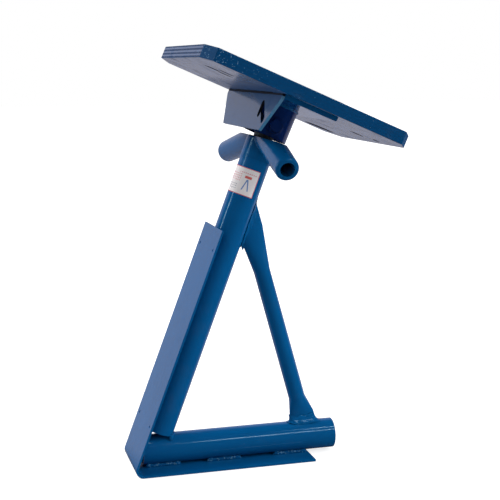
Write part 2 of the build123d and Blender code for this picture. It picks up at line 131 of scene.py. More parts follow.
class StandSizes(bpy.types.PropertyGroup):
    """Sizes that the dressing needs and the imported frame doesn't state."""

    tube_od: size("Tube diameter", "Outside of the post and base tube", 48.3)
    strip_thick: size("Strip thickness", "Thickness of the foot strip", 3.4)
    brace_foot: size("Brace foot", "From the strip's bend to the brace axis on the floor", 309.0)
    brace_lean: angle("Brace lean", "Lean of the brace from the vertical", radians(15.5))
    flat_width: size("Flat width", "Width of the brace's pressed ends", 42.0)
    flat_thick: size("Flat thickness", "Thickness of the brace's pressed ends", 9.6)
    weld: size("Weld leg", "Leg of a fillet weld", 4.5)
    ripple: size("Weld ripple", "Distance between two ripples of a bead", 2.1)
    stitch: size("Stitch length", "Length of one stitch weld", 58.0)
    screw_od: size("Screw diameter", "Outside of the lifting screw's thread", 31.75)
    thread_pitch: size("Thread pitch", "Rise of the thread in one turn", 6.35)
    thread_depth: size("Thread depth", "Depth of the thread", 2.6)
    sleeve_od: size("Sleeve diameter", "Cross sleeve on top of the screw", 22.0)
    socket_od: size("Socket diameter", "Outside of the socket under the pad", 73.0)
    socket_skirt: size("Socket skirt", "Socket below the pivot axis", 18.6)
    plate_thick: size("Top plate thickness", "Thickness of the bar under the pad", 6.35)
    pad_thick: size("Pad thickness", "Thickness of the plywood pad", 20.0)
    pad_cut_along: size("Corner cut along", "Sawn corner, along the foot", 21.0)
    pad_cut_across: size("Corner cut across", "Sawn corner, across the stand", 38.0)
    pad_short_along: size("Short cut along", "Near left corner's cut, along the foot", 14.0)
    pad_short_across: size("Short cut across", "Near left corner's cut, across the stand", 31.0)
    plies: bpy.props.IntProperty(name="Plies", description="Number of plies in the pad", default=7)
    bolt_od: size("Bolt diameter", "Pivot bolt", 12.7)
    bolt_hex: size("Bolt hexagon", "Across the flats of the bolt's head and nut", 19.0)
    label_height: size("Label height", "Label on the post, along it", 43.0)
    label_width: size("Label width", "Label on the post, round it", 63.0)
    label_low: size("Label place", "Lower edge of the label below the wing nut's seat", 59.0)
    label_edge: angle("Label edge", "Right edge of the label, turned from the near side", radians(22.0))


class StandColours(bpy.types.PropertyGroup):
    """Colours of the paint, wood, steel and label."""

    enamel: tint("Enamel", "Blue enamel on the welded steel", (0.0014, 0.093, 0.274))
    casting: tint("Casting", "Blue enamel on the cast wing nut", (0.0014, 0.077, 0.226))
    # darker than the rest of the enamel: painted shade under the pad
    plate: tint("Chain plate", "Thin, greyer enamel on the chain plate", (0.0012, 0.044, 0.130))
    # darker than the rest of the enamel: painted shade under the pad, shared by the pivot fasteners
    socket: tint("Socket", "Thicker, darker enamel on the socket", (0.0010, 0.026, 0.165))
    plywood: tint("Plywood", "Blue enamel on the plywood pad", (0.0009, 0.053, 0.162))
    steel: tint("Steel", "Oiled steel of the screw", (0.110, 0.120, 0.150))
    label_field: tint("Label field", "Paper of the label", (0.78, 0.74, 0.75))
    label_border: tint("Label border", "Printed border of the label", (0.62, 0.10, 0.13))


class StandStage(bpy.types.PropertyGroup):
    """Camera, lamps and floor."""

    camera_place: bpy.props.FloatVectorProperty(
        name="Camera place", description="Where the camera stands",
        default=(-0.4229, -1.7198, 0.6359), subtype="TRANSLATION", unit="LENGTH",
    )
    camera_turn: angle("Camera turn", "Turn of the view to the right of +Y", radians(15.544))
    camera_dip: angle("Camera dip", "Fall of the view below level", radians(9.373))
    camera_roll: angle("Camera roll", "Roll of the camera about its view", radians(-0.216))
    lens: number("Lens", "Focal length on a 36 mm wide sensor", 81.995, unit="CAMERA")
    floor_size: size("Floor size", "Width of the floor", 30000.0)
    right_power: watts("Right lamp", "Power of the soft lamp at the right", 37.0)
    left_power: watts("Left lamp", "Power of the soft lamp high at the left", 10.0)
    rim_power: watts("Rim lamp", "Power of the soft lamp behind at the left", 36.0)
    top_power: watts("Top lamp", "Power of the soft lamp above and behind", 10.5)
    streak_power: watts("Streak lamps", "Power of the three narrow lamps that the tubes mirror", 17.0)
    room_tint: tint("Room tint", "Even light of the room", (0.52, 0.52, 0.52), 10)
    mirrored_tint: tint("Mirrored tint", "Tint of what the gloss mirrors", (1.0, 1.0, 1.2), 10)
    mirrored_behind: number("Mirrored behind", "What the gloss mirrors behind and above the stand", 0.52)
    mirrored_level: number("Mirrored level", "What the gloss mirrors level with the stand", 0.40)
    mirrored_floor: number("Mirrored floor", "How bright the gloss mirrors the floor behind", 0.42)
    mirrored_ahead: number("Mirrored ahead", "What the gloss mirrors on the camera's side", 0.012)


# where the stitch welds start, from the strip's bend
FOOT_STITCHES = (27.0 * MM, 127.0 * MM, 238.0 * MM)
LEG_STITCHES = (96.0 * MM, 216.0 * MM, 336.0 * MM)

# paint where it is worn, chipped, soaked in or oily, and painted shade, shadow, highlight and reflection
SCUFF = (0.45, 0.52, 0.60)
DEEP_PAINT = (0.0, 0.02, 0.06)
# oil on the nut's top face, darkened further with painted shade under the socket
OIL_AND_SHADE = (0.001, 0.004, 0.018)
# painted shadow of the socket on the wing nut, below its top and near the screw
PAINTED_SOCKET_SHADOW = (0.0005, 0.010, 0.050)
# painted highlights on the crests of the weld spatter
BEAD_CREST_GLINT = (0.16, 0.36, 0.56)
# painted shade on the socket's downward cut end
CUT_END_SHADE = (0.001, 0.002, 0.008)
# painted highlight on the chain plate's end faces
PLATE_EDGE_HIGHLIGHT = (0.060, 0.210, 0.390)
# painted reflection of the pad's shaded underside in the chain plate
PLATE_MIRRORED_SHADE = (0.002, 0.055, 0.170)
# painted shade in the chain plate's slots and under the pad
PLATE_SLOT_SHADE = (0.001, 0.003, 0.014)
THIRSTY_WOOD = (0.0, 0.012, 0.05)
# painted reflection of the chain plate in the pad's underside
WOOD_MIRRORED_PLATE = (0.002, 0.080, 0.260)
# painted shadow in the seam beside the chain plate, also used for the dark marks
SEAM_SHADOW_AND_MARKS = (0.0, 0.005, 0.022)
CHIPPED_WOOD = (0.30, 0.52, 0.72)

# dark marks under the pad, listed one by one: centre from the pivot along and across in mm,
# turn in degrees, half length and half width in mm
DARK_MARKS = (
    (126.0, 129.0, -28.0, 25.0, 16.0),
    (-130.0, -64.0, 2.0, 14.0, 7.0),
    (-108.0, -58.0, -4.0, 12.0, 6.0),
    (-113.0, -86.0, 3.0, 14.0, 5.0),
    (129.0, -38.0, -5.0, 12.0, 7.0),
    (153.0, -66.0, -8.0, 6.0, 7.0),
    (47.0, 4.0, 90.0, 8.0, 1.6),
    (62.0, 45.0, 90.0, 8.0, 1.6),
)

# the label's print, in mm from its lower left corner
RED_INK, GREY_INK = (0.62, 0.22, 0.25), (0.30, 0.32, 0.36)
RED_BAR, BLUE_LEGS = (0.60, 0.11, 0.10), (0.10, 0.22, 0.50)
BORDER = 1.1
RULE_PITCH, RULE_THICK = 3.4, 1.7
RULES = (  # from x, to x, foot, number of rules, ink
    (30.0, 58.0, 34.0, 1, RED_INK),
    (10.0, 36.0, 20.6, 4, RED_INK),
    (10.0, 32.0, 6.9, 3, GREY_INK),
)
BAR_BOX = (41.0, 52.0, 27.0, 31.0)
LEG_BOX = (40.5, 52.5, 8.0, 25.5)
LEG_APEX, LEG_SPREAD, LEG_HALF = (46.5, 27.0), 0.26, 0.95

# level, from the camera's side to the wall behind the stand
BACKWARDS = (-0.10, 0.995, 0.0)


# ---------------- mesh helpers
def grid_faces(rows, columns, wrap_rows, wrap_columns):
    """Quads between neighbouring grid points, joined round where a direction is closed."""
    r = np.arange(rows if wrap_rows else rows - 1)
    c = np.arange(columns if wrap_columns else columns - 1)
    r, c = (a.ravel() for a in np.meshgrid(r, c, indexing="ij"))
    up, over = (r + 1) % rows, (c + 1) % columns
    return np.stack([r * columns + c, r * columns + over, up * columns + over, up * columns + c], 1)


def surface(name, points, paint, wrap_rows=False, wrap_columns=True, smooth=True, closed=True):
    """One object from one or more point grids, each rows x columns x 3, merged at its poles."""
    grids = points if isinstance(points, list) else [points]
    corners, faces, start = [], [], 0
    for grid in grids:
        rows, columns = grid.shape[:2]
        corners.append(grid.reshape(-1, 3))
        faces.append(grid_faces(rows, columns, wrap_rows, wrap_columns) + start)
        start += rows * columns
    mesh = bpy.data.meshes.new(name)
    mesh.from_pydata(np.concatenate(corners), [], np.concatenate(faces))
    shape = bmesh.new()
    shape.from_mesh(mesh)
    bmesh.ops.remove_doubles(shape, verts=shape.verts, dist=1e-6)
    if closed:
        bmesh.ops.recalc_face_normals(shape, faces=shape.faces)
    for face in shape.faces:
        face.smooth = smooth
    shape.to_mesh(mesh)
    shape.free()
    piece = bpy.data.objects.new(name, mesh)
    bpy.context.scene.collection.objects.link(piece)
    mesh.materials.append(materials()[paint])
    return piece


def turned(profile, steps):
    """Turns a profile of (radius, height) pairs about z: (r cos t, r sin t, h)."""
    t = np.linspace(0, 2 * pi, steps, endpoint=False)
    r, h = profile[:, 0:1], profile[:, 1:2]
    return np.stack([r * np.cos(t), r * np.sin(t), h + 0 * t], 2)


def add_piece(name, points, paint, body, slot, *nodes, **shape):
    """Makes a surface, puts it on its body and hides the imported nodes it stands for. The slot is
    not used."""
    piece = surface(name, points, paint, **shape)
    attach(piece, body)
    if nodes:
        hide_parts(*nodes)
    return piece


# ---------------- shader helpers
class Field:
    """One node's output, a value that varies over a surface. Arithmetic on it adds Math nodes,
    a comparison gives a mask of 0 and 1, and | takes the greater of two."""

    def __init__(self, socket):
        self.socket = socket
        self.tree = socket.id_data

    def math(self, operation, *others):
        """A Math node's result for this field and another field or number."""
        return math(self.tree, operation, self, *others)

    def __rsub__(self, other):
        return math(self.tree, "SUBTRACT", other, self)

    __abs__ = partialmethod(math, "ABSOLUTE")
    __add__ = partialmethod(math, "ADD")
    __sub__ = partialmethod(math, "SUBTRACT")
    __mul__ = partialmethod(math, "MULTIPLY")
    __truediv__ = partialmethod(math, "DIVIDE")
    __mod__ = partialmethod(math, "MODULO")
    __or__ = partialmethod(math, "MAXIMUM")
    __gt__ = partialmethod(math, "GREATER_THAN")
    __lt__ = partialmethod(math, "LESS_THAN")


def feed(value, socket):
    """Links a field to an input, or sets the input to a number, vector or colour."""
    if isinstance(value, Field):
        value.tree.links.new(value.socket, socket)
    elif socket.type == "RGBA":
        socket.default_value = (*value[:3], 1.0)
    else:
        socket.default_value = value


def add_node(tree, kind, *values):
    """A new shader node whose inputs are fed in order."""
    node = tree.nodes.new("ShaderNode" + kind)
    for value, socket in zip(values, node.inputs):
        feed(value, socket)
    return node


def output(tree, kind, *values):
    """The first output of a new shader node, as a field."""
    return Field(add_node(tree, kind, *values).outputs[0])


def math(tree, operation, *values):
    """A Math node's result for fields or numbers."""
    node = add_node(tree, "Math", *values)
    node.operation = operation
    return Field(node.outputs[0])


def clamped(field):
    """The same field, held between 0 and 1 by its own Math node."""
    field.socket.node.use_clamp = True
    return field


def vector_math(operation, vector, other=(0, 0, 0)):
    """A Vector Math node's value, such as a length, a distance or a dot product."""
    node = add_node(vector.tree, "VectorMath", vector, tuple(float(v) for v in other))
    node.operation = operation
    return Field(node.outputs["Value"])


def coordinate(tree, kind):
    """A Texture Coordinate output: Object is a place, Normal is where the surface faces, and
    the room's Generated is a direction."""
    return Field(add_node(tree, "TexCoord").outputs[kind])


def along(place, direction, stretch=1.0):
    """Distance of a place along a direction, times stretch."""
    return vector_math("DOT_PRODUCT", place, [v * stretch for v in direction])


def combine(tree, x, y, z):
    """A vector from three fields or numbers."""
    return output(tree, "CombineXYZ", x, y, z)


def stretched(place, axes, scales):
    """A place measured along three axes, each times its own scale."""
    return combine(place.tree, *(along(place, axis, scale) for axis, scale in zip(axes, scales)))


def noise(vector, scale, detail=3.0, roughness=0.55):
    """A Noise Texture's value. Its second input, W, is not used in three dimensions."""
    return output(vector.tree, "TexNoise", vector, 0.0, scale, detail, roughness)


def remap(value, low, high, to_low=0.0, to_high=1.0):
    """A clamped Map Range node."""
    return output(value.tree, "MapRange", value, low, high, to_low, to_high)


def blend(mask, first, second):
    """Mixes two colours by a mask: each is a field or a colour, and one of the three is a field."""
    tree = next(value.tree for value in (mask, first, second) if isinstance(value, Field))
    node = add_node(tree, "Mix")
    node.data_type = "RGBA"
    for value, socket in zip((mask, first, second), (node.inputs[0], node.inputs[6], node.inputs[7])):
        feed(value, socket)
    return Field(node.outputs[2])


def node_group(name, inputs, outputs):
    """An empty shader node group: its tree, its inputs as fields and its output sockets."""
    group = bpy.data.node_groups.new(name, "ShaderNodeTree")
    for label, kind, default in inputs:
        socket = group.interface.new_socket(label, in_out="INPUT", socket_type=kind)
        socket.default_value = default
    for label, kind in outputs:
        group.interface.new_socket(label, in_out="OUTPUT", socket_type=kind)
    entry = group.nodes.new("NodeGroupInput").outputs
    given = {label: Field(entry[label]) for label, kind, default in inputs}
    return group, given, group.nodes.new("NodeGroupOutput").inputs


def bump(shader, height, strength, distance):
    """A Bump node from a height to the shader's normal."""
    node = add_node(height.tree, "Bump")
    feed(strength, node.inputs["Strength"])
    feed(distance, node.inputs["Distance"])
    feed(height, node.inputs["Height"])
    feed(Field(node.outputs["Normal"]), shader.inputs["Normal"])


def new_material(name):
    """A new material's tree and its Principled shader."""
    material = bpy.data.materials.new(name)
    material.use_nodes = True
    return material.node_tree, material.node_tree.nodes["Principled BSDF"]


# ---------------- materials
def paint_group():
    """Brushed or dipped enamel: colour drift, small scuffs, dull patches and a faint orange peel."""
    group, given, out = node_group(
        "Enamel Coat",
        [("Paint", "NodeSocketColor", (0, 0, 0, 1)), ("Drift", "NodeSocketFloat", 0.3),
         ("Scuffs", "NodeSocketFloat", 0.3), ("Gloss", "NodeSocketFloat", 0.2)],
        [("Color", "NodeSocketColor"), ("Roughness", "NodeSocketFloat"), ("Height", "NodeSocketFloat")],
    )
    place = coordinate(group, "Object")
    drift = remap(noise(place, 9.0), 0.35, 0.65)
    fine = noise(place, 220.0, 2.0)
    peel = noise(place, 650.0, 1.0)
    scratches = noise(stretched(place, (ALONG_FOOT, ACROSS, UP), (40, 700, 60)), 1.0, 2.0)
    patches = remap(noise(place, 26.0, 4.0), 0.55, 0.70)
    scuffs = remap(scratches, 0.72, 0.80) * patches * given["Scuffs"]
    deeper = blend(0.28, given["Paint"], DEEP_PAINT)
    tone = blend(drift * given["Drift"], given["Paint"], deeper)
    feed(blend(scuffs, tone, SCUFF), out["Color"])
    rough = given["Gloss"] + fine * 0.06 + patches * 0.14 + scuffs * 0.3
    feed(clamped(rough), out["Roughness"])
    feed(peel * 0.35 + noise(place, 60.0, 2.0) - scuffs * 0.4, out["Height"])
    return group


def enamel(name, group, paint, drift, scuffs, gloss):
    """Glossy enamel over steel: gives its tree, its shader and its coat's outputs."""
    tree, shader = new_material(name)
    node = add_node(tree, "Group")
    node.node_tree = group
    for label, value in (("Paint", paint), ("Drift", drift), ("Scuffs", scuffs), ("Gloss", gloss)):
        feed(value, node.inputs[label])
    coat = {socket.name: Field(socket) for socket in node.outputs}
    feed(coat["Color"], shader.inputs["Base Color"])
    feed(coat["Roughness"], shader.inputs["Roughness"])
    feed(1.5, shader.inputs["IOR"])
    bump(shader, coat["Height"], 0.35, 0.4 * MM)
    return tree, shader, coat


def repaint(shader, coat, paint, worn):
    """Gives an enamel its own paint, rougher than its coat where it is worn."""
    feed(paint, shader.inputs["Base Color"])
    feed(clamped(coat["Roughness"] + worn), shader.inputs["Roughness"])


def enamel_beads(group, colours):
    """Enamel on the stitch welds, with painted highlights: pale on the crests of their spatter."""
    tree, shader, coat = enamel("bead_enamel", group, colours.enamel, 0.5, 0.5, 0.06)
    # painted highlights on the crests
    crests = remap(noise(coordinate(tree, "Object"), 240.0, 2.0), 0.54, 0.64, 0.0, 0.5)
    feed(blend(crests, coat["Color"], BEAD_CREST_GLINT), shader.inputs["Base Color"])


def enamel_casting(group, colours):
    """Enamel over a sand casting: the same paint over coarse grains. The top face is dark and dull,
    with oil from the screw and painted shade under the socket; just below it and near the screw a
    painted shadow of the socket darkens the casting."""
    tree, shader, coat = enamel("cast_enamel", group, colours.casting, 0.4, 0.25, 0.07)
    place = coordinate(tree, "Object")
    height = along(place, POST_UP)
    top_face = float(PIVOT @ POST_UP) + reach("wing_nut", POST_UP)[1] - 0.5 * MM
    top = height > top_face
    aside = along(place, POST_RIGHT) - float(POST_FOOT @ POST_RIGHT)
    from_screw = vector_math("LENGTH", combine(tree, aside, along(place, ACROSS), 0.0))
    near = remap(from_screw, 30 * MM, 90 * MM, 0.85, 0.0)
    high = remap(top_face - height, 0.0, 26 * MM, 1.0, 0.0)
    # painted shadow of the socket, below the top and near the screw
    paint = blend(near * high, coat["Color"], PAINTED_SOCKET_SHADOW)
    # oil and painted shade: the top face dark and dull
    repaint(shader, coat, blend(top, paint, OIL_AND_SHADE), top * 0.8)
    bump(shader, noise(place, 420.0) + noise(place, 90.0) * 2.0, 0.35, 0.7 * MM)


def enamel_socket(group, colours):
    """Enamel on the socket, darker than the rest for painted shade under the pad, and nearly black
    and dull on its downward cut end: painted shade.
    """
    tree, shader, coat = enamel("shaded_socket_enamel", group, colours.socket, 0.6, 0.4, 0.10)
    cut = along(coordinate(tree, "Normal"), HEAD_UP) < -0.9
    # painted shade: the downward cut end nearly black and dull
    repaint(shader, coat, blend(cut, coat["Color"], CUT_END_SHADE), cut * 0.9)


def shaded_plate(group, colours, sizes):
    """Enamel on the chain plate, darker than the rest for painted shade under the pad: a painted
    shadow in the seam under the pad, painted shade in the slots, a painted highlight on the end
    faces, and a duller zone growing towards the near end that paints the pad's shaded underside
    mirrored in it."""
    tree, shader, coat = enamel("plate_enamel", group, colours.plate, 0.5, 0.5, 0.10)
    place, facing = coordinate(tree, "Object"), coordinate(tree, "Normal")
    across = along(place, ACROSS)
    drop = float(PAD_TOP @ HEAD_UP) - sizes.pad_thick - along(place, HEAD_UP)
    # painted shadow in the seam under the pad
    seam = drop < 3 * MM
    turned_in = abs(along(facing, HEAD_RIGHT)) < 0.5
    # painted shade in the slots
    slots = turned_in * ((drop > 8 * MM) * (drop < 56 * MM)) * (abs(across) < 95 * MM)
    dark = seam | slots
    # painted highlight on the end faces
    arris = abs(along(facing, ACROSS)) > 0.7
    paint = blend(arris, coat["Color"], PLATE_EDGE_HIGHLIGHT)
    # painted reflection of the pad's shaded underside, growing towards the near end
    depth = remap(across, 50 * MM, -110 * MM, 0.0, 34 * MM)
    painted_reflection = remap(depth - drop, 0.0, 8 * MM)
    paint = blend(painted_reflection * (1.0 - arris), paint, PLATE_MIRRORED_SHADE)
    repaint(shader, coat, blend(dark, paint, PLATE_SLOT_SHADE), (dark * 0.6) | (painted_reflection * 0.4))


def dark_marks(side, across, grain):
    """Mask of the dark marks: ellipses whose rims the grain frays."""
    tree = side.tree
    sheet = combine(tree, side, across, 0.0)
    frayed = grain * 1.6 + 0.2
    mask = 0.0
    for along_mm, across_mm, turn, half_long, half_wide in DARK_MARKS:
        centre, half = (along_mm * MM, across_mm * MM, 0), (half_long * MM, half_wide * MM, 1)
        node = add_node(tree, "Mapping", sheet, centre, (0, 0, radians(turn)), half)
        node.vector_type = "TEXTURE"
        away = vector_math("LENGTH", Field(node.outputs[0]))
        mask = (away < frayed) | mask
    return mask


def chips(place):
    """Mask of bare specks that crowd towards the pad's near left corner."""
    corner = PAD_TOP - (HEAD_RIGHT + ACROSS) * 170 * MM
    crowd = remap(vector_math("DISTANCE", place, corner), 20 * MM, 130 * MM, 0.665, 0.79)
    specks = noise(place, 520.0, 1.0) > crowd
    return specks * remap(noise(place, 55.0, 2.0), 0.45, 0.55)


def painted_plywood(group, colours, sizes):
    """Enamel over plywood: the faces show long grain, and on the edges end grain drinks the paint.
    Every second ply shows end grain on the long sides, and the plies between them at the ends."""
    tree, shader, coat = enamel("plywood_enamel", group, colours.plywood, 0.35, 0.2, 0.11)
    place, facing = coordinate(tree, "Object"), coordinate(tree, "Normal")
    side, across = along(place, HEAD_RIGHT), along(place, ACROSS)
    height = along(place, HEAD_UP) - (float(PAD_TOP @ HEAD_UP) - sizes.pad_thick)
    odd = abs((height / (sizes.pad_thick / sizes.plies)).math("FLOOR")) % 2.0
    endwards = abs(along(facing, HEAD_RIGHT))
    end, edge = endwards > 0.97, abs(along(facing, HEAD_UP)) < 0.6
    sawn = (endwards > 0.5) * (endwards < 0.97)
    dull = abs(odd - end) * remap(end, 0.0, 1.0, 0.10, 1.0) * edge
    grain = noise(stretched(place, HEAD_AXES, (9.0, 160.0, 90.0)), 1.0, 4.0, 0.6)
    streaks = remap(noise(stretched(place, HEAD_AXES, (16.0, 420.0, 60.0)), 1.0, 2.0), 0.60, 0.66)
    streaks = streaks * remap(noise(place, 16.0, 2.0), 0.48, 0.58)
    # under the pad: a painted shadow in the seam beside the chain plate, a zone of painted
    # reflection of the plate beside it, and the dark marks
    centre = float(PIVOT @ HEAD_RIGHT)
    under = height < 0.4 * MM
    beside = centre + reach("chain_plate", HEAD_RIGHT)[0] - side
    # painted shadow in the seam beside the chain plate
    seam = (beside > 0.0) * (beside < 3 * MM) * (abs(across) < 105 * MM) * under
    # painted reflection of the chain plate: bluer and duller beside it
    painted_reflection = remap(beside, 3 * MM, 55 * MM, 1.0, 0.0) * (beside > 0.0)
    painted_reflection = painted_reflection * (under * remap(across, 0.0, 150 * MM, 1.0, 0.3))
    # the dark marks join the seam's painted shadow in one mask
    seam = seam | (dark_marks(side - centre, across, grain) * under * 0.95)
    paint = blend(dull * 0.6, coat["Color"], THIRSTY_WOOD)
    paint = blend(streaks * 0.5, paint, THIRSTY_WOOD)
    # painted reflection of the chain plate
    paint = blend(painted_reflection, paint, WOOD_MIRRORED_PLATE)
    # painted shadow in the seam, and the dark marks
    paint = blend(seam, paint, SEAM_SHADOW_AND_MARKS)
    paint = blend(chips(place) * 0.7, paint, CHIPPED_WOOD)
    worn = clamped((dull * 0.5) | (streaks * (1.0 - edge) * 0.7) | seam)
    worn = worn | (sawn * 0.9) | (painted_reflection * 0.6)
    repaint(shader, coat, paint, worn * 0.85)
    bump(shader, grain * 1.2 + coat["Height"] * 0.4, 0.35, 0.6 * MM)


def oiled_steel(colours):
    """Turned steel with a film of oil."""
    tree, shader = new_material("turned_steel")
    stains = remap(noise(coordinate(tree, "Object"), 45.0, 4.0), 0.4, 0.65)
    dark = tuple(c * 0.45 for c in colours.steel)
    feed(blend(stains, colours.steel, dark), shader.inputs["Base Color"])
    feed(remap(stains, 0.0, 1.0, 0.28, 0.42), shader.inputs["Roughness"])
    feed(0.4, shader.inputs["Metallic"])


def label_paper(colours, sizes):
    """Printed label: a border, a pale field, plain rules, a red bar and two blue legs, by the
    piece's own UV map in mm."""
    tree, shader = new_material("post_label_paper")
    uv = add_node(tree, "UVMap")
    uv.uv_map = "print"
    x, y = (Field(part) for part in add_node(tree, "SeparateXYZ", Field(uv.outputs[0])).outputs[:2])

    def box(x_low, x_high, y_low, y_high):
        return ((x > x_low) * (x < x_high)) * ((y > y_low) * (y < y_high))

    field = box(BORDER, sizes.label_width / MM - BORDER, BORDER, sizes.label_height / MM - BORDER)
    colour = blend(field, colours.label_border, colours.label_field)
    worn = noise(coordinate(tree, "Object"), 260.0)
    rows = y % RULE_PITCH < RULE_THICK
    words = (x * 1.9).math("SINE") + worn > 0.25
    for x_low, x_high, foot, count, ink in RULES:
        rule = rows * words * box(x_low, x_high, foot, foot + count * RULE_PITCH)
        colour = blend(rule * 0.9, colour, ink)
    colour = blend(box(*BAR_BOX), colour, RED_BAR)
    # the legs spread evenly from an apex at the bar's foot
    off = abs(x - LEG_APEX[0])
    legs = abs(off - (LEG_APEX[1] - y) * LEG_SPREAD) < LEG_HALF
    colour = blend(legs * box(*LEG_BOX), colour, BLUE_LEGS)
    feed(colour, shader.inputs["Base Color"])
    feed(remap(worn, 0.3, 0.7, 0.32, 0.5), shader.inputs["Roughness"])


def materials():
    """The stand's materials, made on first use."""
    if "welded_enamel" not in bpy.data.materials:
        scene = bpy.context.scene
        colours, sizes = scene.stand_colours, scene.stand_sizes
        group = paint_group()
        enamel("welded_enamel", group, colours.enamel, 0.5, 0.5, 0.06)
        enamel_beads(group, colours)
        enamel_casting(group, colours)
        enamel_socket(group, colours)
        shaded_plate(group, colours, sizes)
        painted_plywood(group, colours, sizes)
        oiled_steel(colours)
        label_paper(colours, sizes)
    return bpy.data.materials


# ---------------- welds
BEAD_STEPS = 9  # points across a bead's face
RIPPLE_STEPS = 8  # points along one ripple


def bead(root, toe_a, toe_b, run, ripple, ends=True, hollow=False):
    """A fillet bead: at each place on its path a quarter ellipse from toe to toe,
    root + A cos t + B sin t, closed through the root. A and B swell by 7 percent in
    crescent ripples, a sine of the distance run less the square of t. They drift slowly by
    up to 11 percent, and shrink to nothing at open ends as a half circle does. A hollow bead
    is dressed smooth and bends inwards: root + A (1 - sin t) + B (1 - cos t)."""
    toe_a, toe_b = (np.broadcast_to(toe, root.shape) for toe in (toe_a, toe_b))
    t = np.linspace(0, pi / 2, BEAD_STEPS)
    lag = ((t - pi / 4) / (pi / 4)) ** 2
    wave = np.sin(2 * pi * (run[:, None] / ripple - 0.45 * lag))
    drift = 1 + 0.06 * np.sin(run / ripple * 0.83) + 0.05 * np.sin(run / ripple * 0.31 + 1.0)
    swell = (1 + 0.07 * np.maximum(wave, -0.6)) * drift[:, None]
    if ends:
        leg = np.linalg.norm(toe_a, axis=1).mean()
        near = np.clip(np.minimum(run - run[0], run[-1] - run) / leg, 0, 1)
        swell = swell * np.sqrt(1 - (1 - near[:, None]) ** 2)
    share_a, share_b = np.cos(t) * swell, np.sin(t) * swell
    if hollow:
        share_a, share_b = (1 - np.sin(t)) * drift[:, None], (1 - np.cos(t)) * drift[:, None]
    face = root[:, None] + toe_a[:, None] * share_a[..., None] + toe_b[:, None] * share_b[..., None]
    return np.concatenate([face, root[:, None]], 1)


def straight_bead(start, direction, length, toe_a, toe_b, ripple):
    """A bead along a straight run."""
    run = np.linspace(0, length, int(length / ripple * RIPPLE_STEPS))
    return bead(start + run[:, None] * direction, toe_a, toe_b, run, ripple)


def stitch_pair(origin, run_dir, up_dir, radius, length, ripple):
    """Beads on both sides of a tube that lies on a flat face: from the face, 0.70 of the
    tube's radius out, up to the tube where it stands a fifth of its radius off the face."""
    outer, inner, rise = 0.70 * radius, 0.5 * radius, 0.20 * radius
    touch = sqrt(radius**2 - (radius - rise) ** 2)
    beads = []
    for side in (-ACROSS, ACROSS):
        root, toe_a = origin + side * inner, side * (outer - inner)
        toe_b = side * (touch - inner) + up_dir * rise
        beads.append(straight_bead(root, run_dir, length, toe_a, toe_b, ripple))
    return beads


def distance_run(points):
    """Distance along a line of points, from its first."""
    step = np.linalg.norm(np.diff(points, axis=0), axis=1)
    return np.concatenate([[0], np.cumsum(step)])


# ---------------- operators
class STAND_OT_paint(bpy.types.Operator):
    """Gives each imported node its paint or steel"""

    bl_idname = "stand.paint"
    bl_label = "Paint the Packed Pieces"

    def execute(self, context):
        made = materials()
        finishes = {
            "wing_nut": "cast_enamel",
            "head_socket": "shaded_socket_enamel",
            "chain_plate": "plate_enamel",
            "plywood_pad": "plywood_enamel",
            "lift_screw": "turned_steel",
            "pivot_sleeve": "turned_steel",
        }
        for name, node in frame["nodes"].items():
            node.data.materials.clear()
            node.data.materials.append(made[finishes.get(name, "welded_enamel")])
        return {"FINISHED"}


class STAND_OT_strip_welds(bpy.types.Operator):
    """Stitch welds between the strip and both tubes"""

    bl_idname = "stand.strip_welds"
    bl_label = "Strip Welds"

    def execute(self, context):
        sizes = context.scene.stand_sizes
        radius = sizes.tube_od / 2
        beads = []
        for run_dir, up_dir, starts in (
            (ALONG_FOOT, UP, FOOT_STITCHES),
            (POST_UP, POST_RIGHT, LEG_STITCHES),
        ):
            face = BEND + up_dir * sizes.strip_thick
            for start in starts:
                origin = face + run_dir * start
                beads += stitch_pair(origin, run_dir, up_dir, radius, sizes.stitch, sizes.ripple)
        add_piece("stitch_welds", beads, "bead_enamel", "stand", "blue_enamel", "strip_welds")
        return {"FINISHED"}


class STAND_OT_post_foot_weld(bpy.types.Operator):
    """Bead where the post lands on the base tube"""

    bl_idname = "stand.post_foot_weld"
    bl_label = "Post Foot Weld"

    def execute(self, context):
        sizes = context.scene.stand_sizes
        radius = sizes.tube_od / 2
        axis_z = sizes.strip_thick + radius
        proud = 0.3 * MM
        inset, leg = 0.3 * sizes.weld, 0.5 * sizes.weld
        turn = np.linspace(radians(-50), radians(50), 150)[:, None]
        rim = POST_RIGHT * np.cos(turn) + ACROSS * np.sin(turn)
        # height along the post where its skin meets the base tube's crown, or its square end
        crown = axis_z + radius * np.cos(turn) * (1 + POST_SIN)
        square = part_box("post_tube")[0][2] + radius * POST_SIN
        height = np.maximum(crown, square) / POST_COS
        post_edge = POST_FOOT + POST_UP * height + rim * radius
        # the same places set on the base tube's skin, with its normal and a way outwards along it
        landing = post_edge.copy()
        landing[:, 2] = axis_z + np.sqrt(np.maximum(radius**2 - landing[:, 1] ** 2, 0))
        tangent = ALONG_FOOT * np.cos(turn) + ACROSS * np.sin(turn)
        normal = (ACROSS * landing[:, 1:2] + UP * (landing[:, 2:3] - axis_z)) / radius
        tangent -= normal * (tangent * normal).sum(1, keepdims=True)
        root = (post_edge + landing) / 2 - rim * inset
        toe_a = post_edge + POST_UP * leg - root + rim * proud
        toe_b = landing + tangent * leg - root + normal * proud
        points = bead(root, toe_a, toe_b, distance_run(landing), sizes.ripple)
        add_piece("post_foot_bead", points, "welded_enamel", "stand", "blue_enamel", "post_foot_weld")
        return {"FINISHED"}


